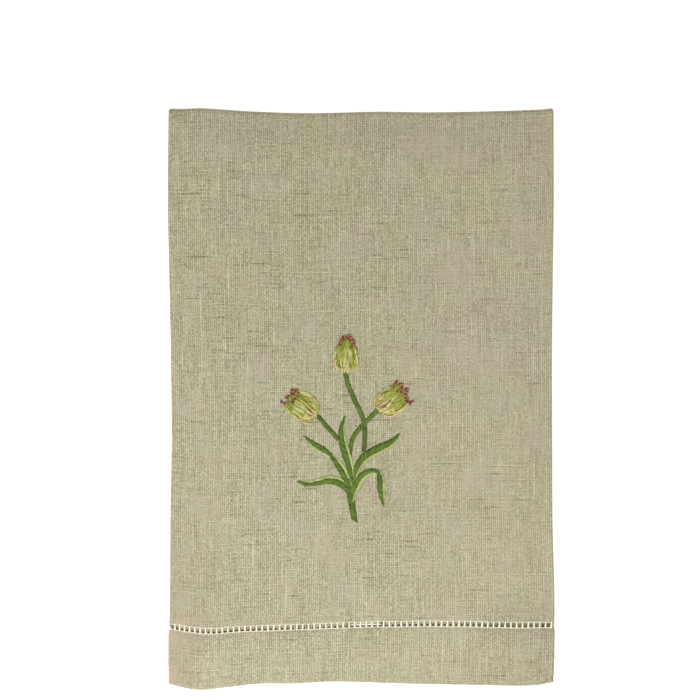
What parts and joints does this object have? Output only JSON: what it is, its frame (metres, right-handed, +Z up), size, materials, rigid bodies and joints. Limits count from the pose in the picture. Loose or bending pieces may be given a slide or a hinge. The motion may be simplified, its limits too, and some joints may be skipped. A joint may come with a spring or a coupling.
{
  "type": "folded linen hand towel",
  "caption": "Linen hand towel with a doubled hem, a drawn-thread ladder and an embroidered sprig of buds, folded to lie face up.",
  "frame": {"origin": "on the flat underside, below the middle of the folded face", "axes": "+Z up out of the face, +Y along the face from the hem to the crosswise fold, +X to the right of a person looking at the face"},
  "size_m": [0.1884, 0.2834, 0.0083],
  "materials": {
    "linen": "undyed plain-weave linen with slubs, matte"
  },
  "bodies": {
    "root": {"towel_cloth": "linen"}
  },
  "joints": []
}
